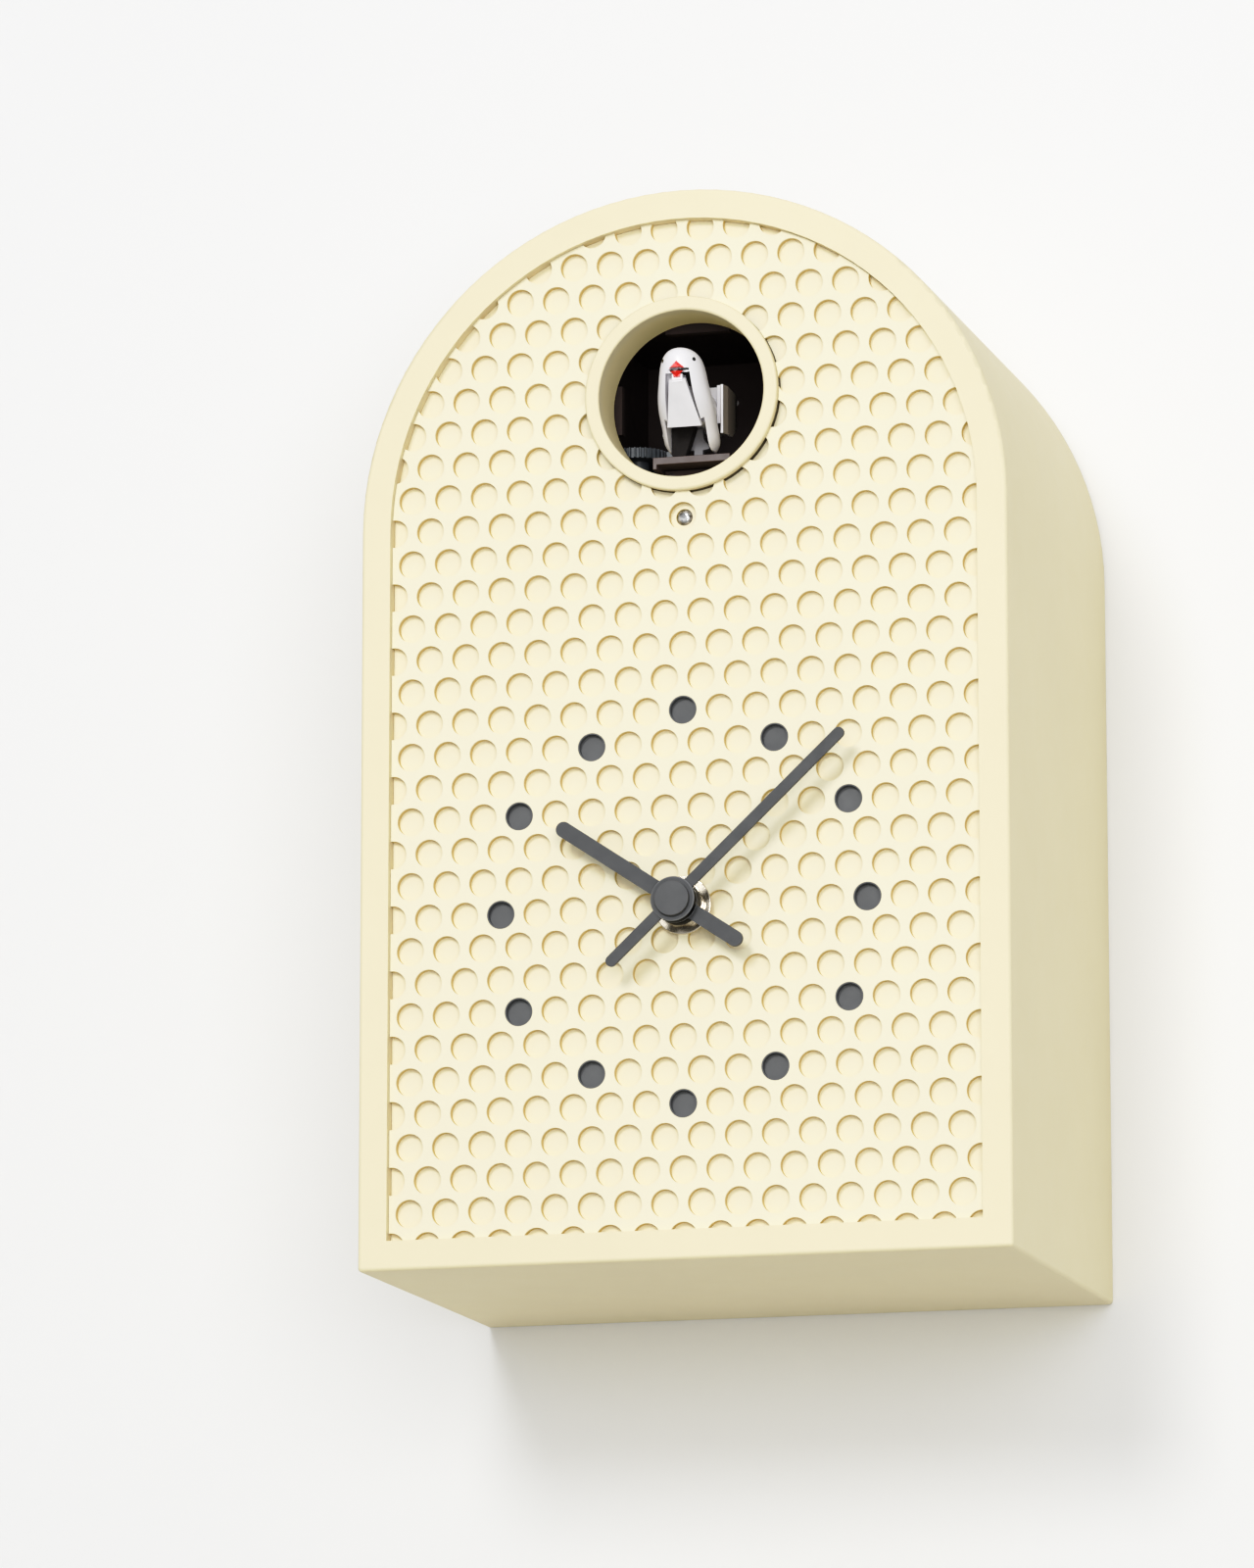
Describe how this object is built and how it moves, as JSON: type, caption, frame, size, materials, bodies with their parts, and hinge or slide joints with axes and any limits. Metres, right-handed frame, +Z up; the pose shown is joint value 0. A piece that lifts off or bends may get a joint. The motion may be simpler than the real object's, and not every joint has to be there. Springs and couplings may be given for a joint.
{
  "type": "cuckoo clock",
  "caption": "Arched wall cuckoo clock with a dimpled dial, dark hands and hour dots, and a white bird that slides out of a round window, over a quartz movement.",
  "frame": {"origin": "centre of the hanging hole, in the plane of the wall", "axes": "+X to the right seen from the front, +Y from the front into the wall, +Z up"},
  "size_m": [0.2, 0.1462, 0.325],
  "materials": {
    "lacquer": "satin cream lacquer on fibreboard",
    "grey_paint": "matt dark grey",
    "raw_board": "unpainted board",
    "zinc_steel": "bright zinc",
    "clear_resin": "clear",
    "black_plastic": "moulded black",
    "brass": "turned brass",
    "nickel": "bright nickel",
    "copper_coil": "enamelled copper",
    "silicon_iron": "laminated iron",
    "circuit_board": "green solder mask",
    "cell_wrap": "printed steel can",
    "white_acetal": "natural acetal",
    "motor_steel": "plated can",
    "grey_acetal": "dark grey acetal",
    "brown_plastic": "brown grey moulding",
    "light_grey_plastic": "light grey moulding",
    "white_plastic": "white moulding",
    "red_plastic": "red moulding",
    "black_paint": "gloss black",
    "red_button": "red button",
    "speaker_frame": "black basket"
  },
  "bodies": {
    "case": {"case_shell": "lacquer", "front_panel": "lacquer", "window_collar": "lacquer", "panel_battens": "raw_board", "hour_markers": "grey_paint", "back_panel": "raw_board", "back_panel_screws": "zinc_steel", "hanger_plate": "zinc_steel", "hanger_screws": "zinc_steel", "light_sensor": "clear_resin", "movement_front_case": "black_plastic", "movement_rear_case": "black_plastic", "threaded_bushing": "brass", "dial_washer": "nickel", "dial_nut": "nickel", "stepper_coil": "copper_coil", "stepper_stator": "silicon_iron", "movement_board": "circuit_board", "movement_cell": "cell_wrap", "movement_contacts": "zinc_steel", "cuckoo_chassis": "black_plastic", "chassis_screws": "zinc_steel", "guide_rails": "zinc_steel", "drive_motor": "motor_steel", "sound_module_case": "black_plastic", "sound_module_cover": "black_plastic", "sound_board": "circuit_board", "speaker": "speaker_frame", "battery_tray": "black_plastic", "battery_cells": "cell_wrap", "battery_contacts": "zinc_steel"},
    "minute_hand_set": {"minute_hand": "grey_paint", "minute_cannon": "white_acetal", "hand_cap": "grey_paint"},
    "hour_hand_set": {"hour_hand": "grey_paint", "hour_wheel": "white_acetal"},
    "motion_work": {"motion_wheel": "white_acetal", "set_knob": "black_plastic"},
    "rotor": {"stepper_rotor": "silicon_iron"},
    "transfer": {"transfer_wheel": "white_acetal"},
    "third": {"third_wheel": "white_acetal"},
    "centre": {"centre_wheel": "white_acetal"},
    "carriage": {"carriage_platform": "brown_plastic", "carriage_rack": "grey_acetal", "bird_pedestal": "brown_plastic", "bird_stand": "light_grey_plastic", "bird_body": "white_plastic", "bird_upper_beak": "red_plastic", "bird_eyes": "black_paint", "wing_pins": "zinc_steel"},
    "belly": {"bird_belly": "white_plastic", "bird_lower_beak": "red_plastic"},
    "left_wing": {"wing_left": "white_plastic"},
    "right_wing": {"wing_right": "white_plastic"},
    "rack_gear": {"drive_gear": "grey_acetal"},
    "pinion": {"motor_pinion": "grey_acetal"},
    "volume_knob": {"volume_dial": "black_plastic"},
    "mode_switch": {"mode_slider": "black_plastic"},
    "demo_key": {"demo_button": "red_button"}
  },
  "joints": [
    {"name": "minute_hand_turn", "type": "hinge", "parent": "case", "child": "minute_hand_set", "pos_m": [0, -0.143, -0.18], "axis": [0, 1, 0], "continuous": true},
    {"name": "hour_hand_turn", "type": "hinge", "parent": "case", "child": "hour_hand_set", "pos_m": [0, -0.141, -0.18], "axis": [0, 1, 0], "continuous": true},
    {"name": "set_knob_turn", "type": "hinge", "parent": "case", "child": "motion_work", "pos_m": [0.01173, -0.12, -0.17573], "axis": [0, 1, 0], "continuous": true},
    {"name": "rotor_turn", "type": "hinge", "parent": "case", "child": "rotor", "pos_m": [0.00301, -0.115, -0.16394], "axis": [0, 1, 0], "continuous": true},
    {"name": "transfer_wheel_turn", "type": "hinge", "parent": "case", "child": "transfer", "pos_m": [-0.00569, -0.115, -0.16547], "axis": [0, 1, 0], "continuous": true},
    {"name": "third_wheel_turn", "type": "hinge", "parent": "case", "child": "third", "pos_m": [-0.01109, -0.115, -0.17483], "axis": [0, 1, 0], "continuous": true},
    {"name": "centre_wheel_turn", "type": "hinge", "parent": "case", "child": "centre", "pos_m": [0, -0.117, -0.18], "axis": [0, 1, 0], "continuous": true},
    {"name": "bird_slide", "type": "slide", "parent": "case", "child": "carriage", "axis": [0, -1, 0], "range_m": [0, 0.025]},
    {"name": "drive_gear_turn", "type": "hinge", "parent": "case", "child": "rack_gear", "pos_m": [-0.0212, -0.107, -0.038], "axis": [0, 0, -1], "range_deg": [0, 160]},
    {"name": "motor_pinion_turn", "type": "hinge", "parent": "case", "child": "pinion", "pos_m": [-0.0212, -0.0955, -0.038], "axis": [0, 0, 1], "range_deg": [0, 575]},
    {"name": "beak_open", "type": "hinge", "parent": "carriage", "child": "belly", "pos_m": [0, -0.134, -0.0178], "axis": [1, 0, 0], "range_deg": [0, 12]},
    {"name": "left_wing_flap", "type": "hinge", "parent": "carriage", "child": "left_wing", "pos_m": [-0.0083, -0.111, -0.02], "axis": [0, 1, 0], "range_deg": [0, 30]},
    {"name": "right_wing_flap", "type": "hinge", "parent": "carriage", "child": "right_wing", "pos_m": [0.0083, -0.111, -0.02], "axis": [0, -1, 0], "range_deg": [0, 30]},
    {"name": "volume_turn", "type": "hinge", "parent": "case", "child": "volume_knob", "pos_m": [-0.016, -0.106, -0.122], "axis": [0, 1, 0], "range_deg": [-135, 135]},
    {"name": "mode_slide", "type": "slide", "parent": "case", "child": "mode_switch", "axis": [1, 0, 0], "range_m": [-0.003, 0.003]},
    {"name": "demo_press", "type": "slide", "parent": "case", "child": "demo_key", "axis": [0, -1, 0], "range_m": [0, 0.0015], "stiffness_N_per_m": 250, "springref_m": -0.0005}
  ],
  "couplings": [
    {"joint": "hour_hand_turn", "follows": "minute_hand_turn", "ratio": 0.083333},
    {"joint": "set_knob_turn", "follows": "minute_hand_turn", "ratio": -0.33333},
    {"joint": "transfer_wheel_turn", "follows": "rotor_turn", "ratio": -0.13333},
    {"joint": "third_wheel_turn", "follows": "rotor_turn", "ratio": 0.016667},
    {"joint": "centre_wheel_turn", "follows": "rotor_turn", "ratio": -0.0022222},
    {"joint": "drive_gear_turn", "follows": "bird_slide", "rad_per_m": 111.11},
    {"joint": "motor_pinion_turn", "follows": "bird_slide", "rad_per_m": 400},
    {"joint": "beak_open", "follows": "bird_slide", "rad_per_m": 8.3},
    {"joint": "left_wing_flap", "follows": "bird_slide", "rad_per_m": 20.9},
    {"joint": "right_wing_flap", "follows": "bird_slide", "rad_per_m": 20.9}
  ]
}
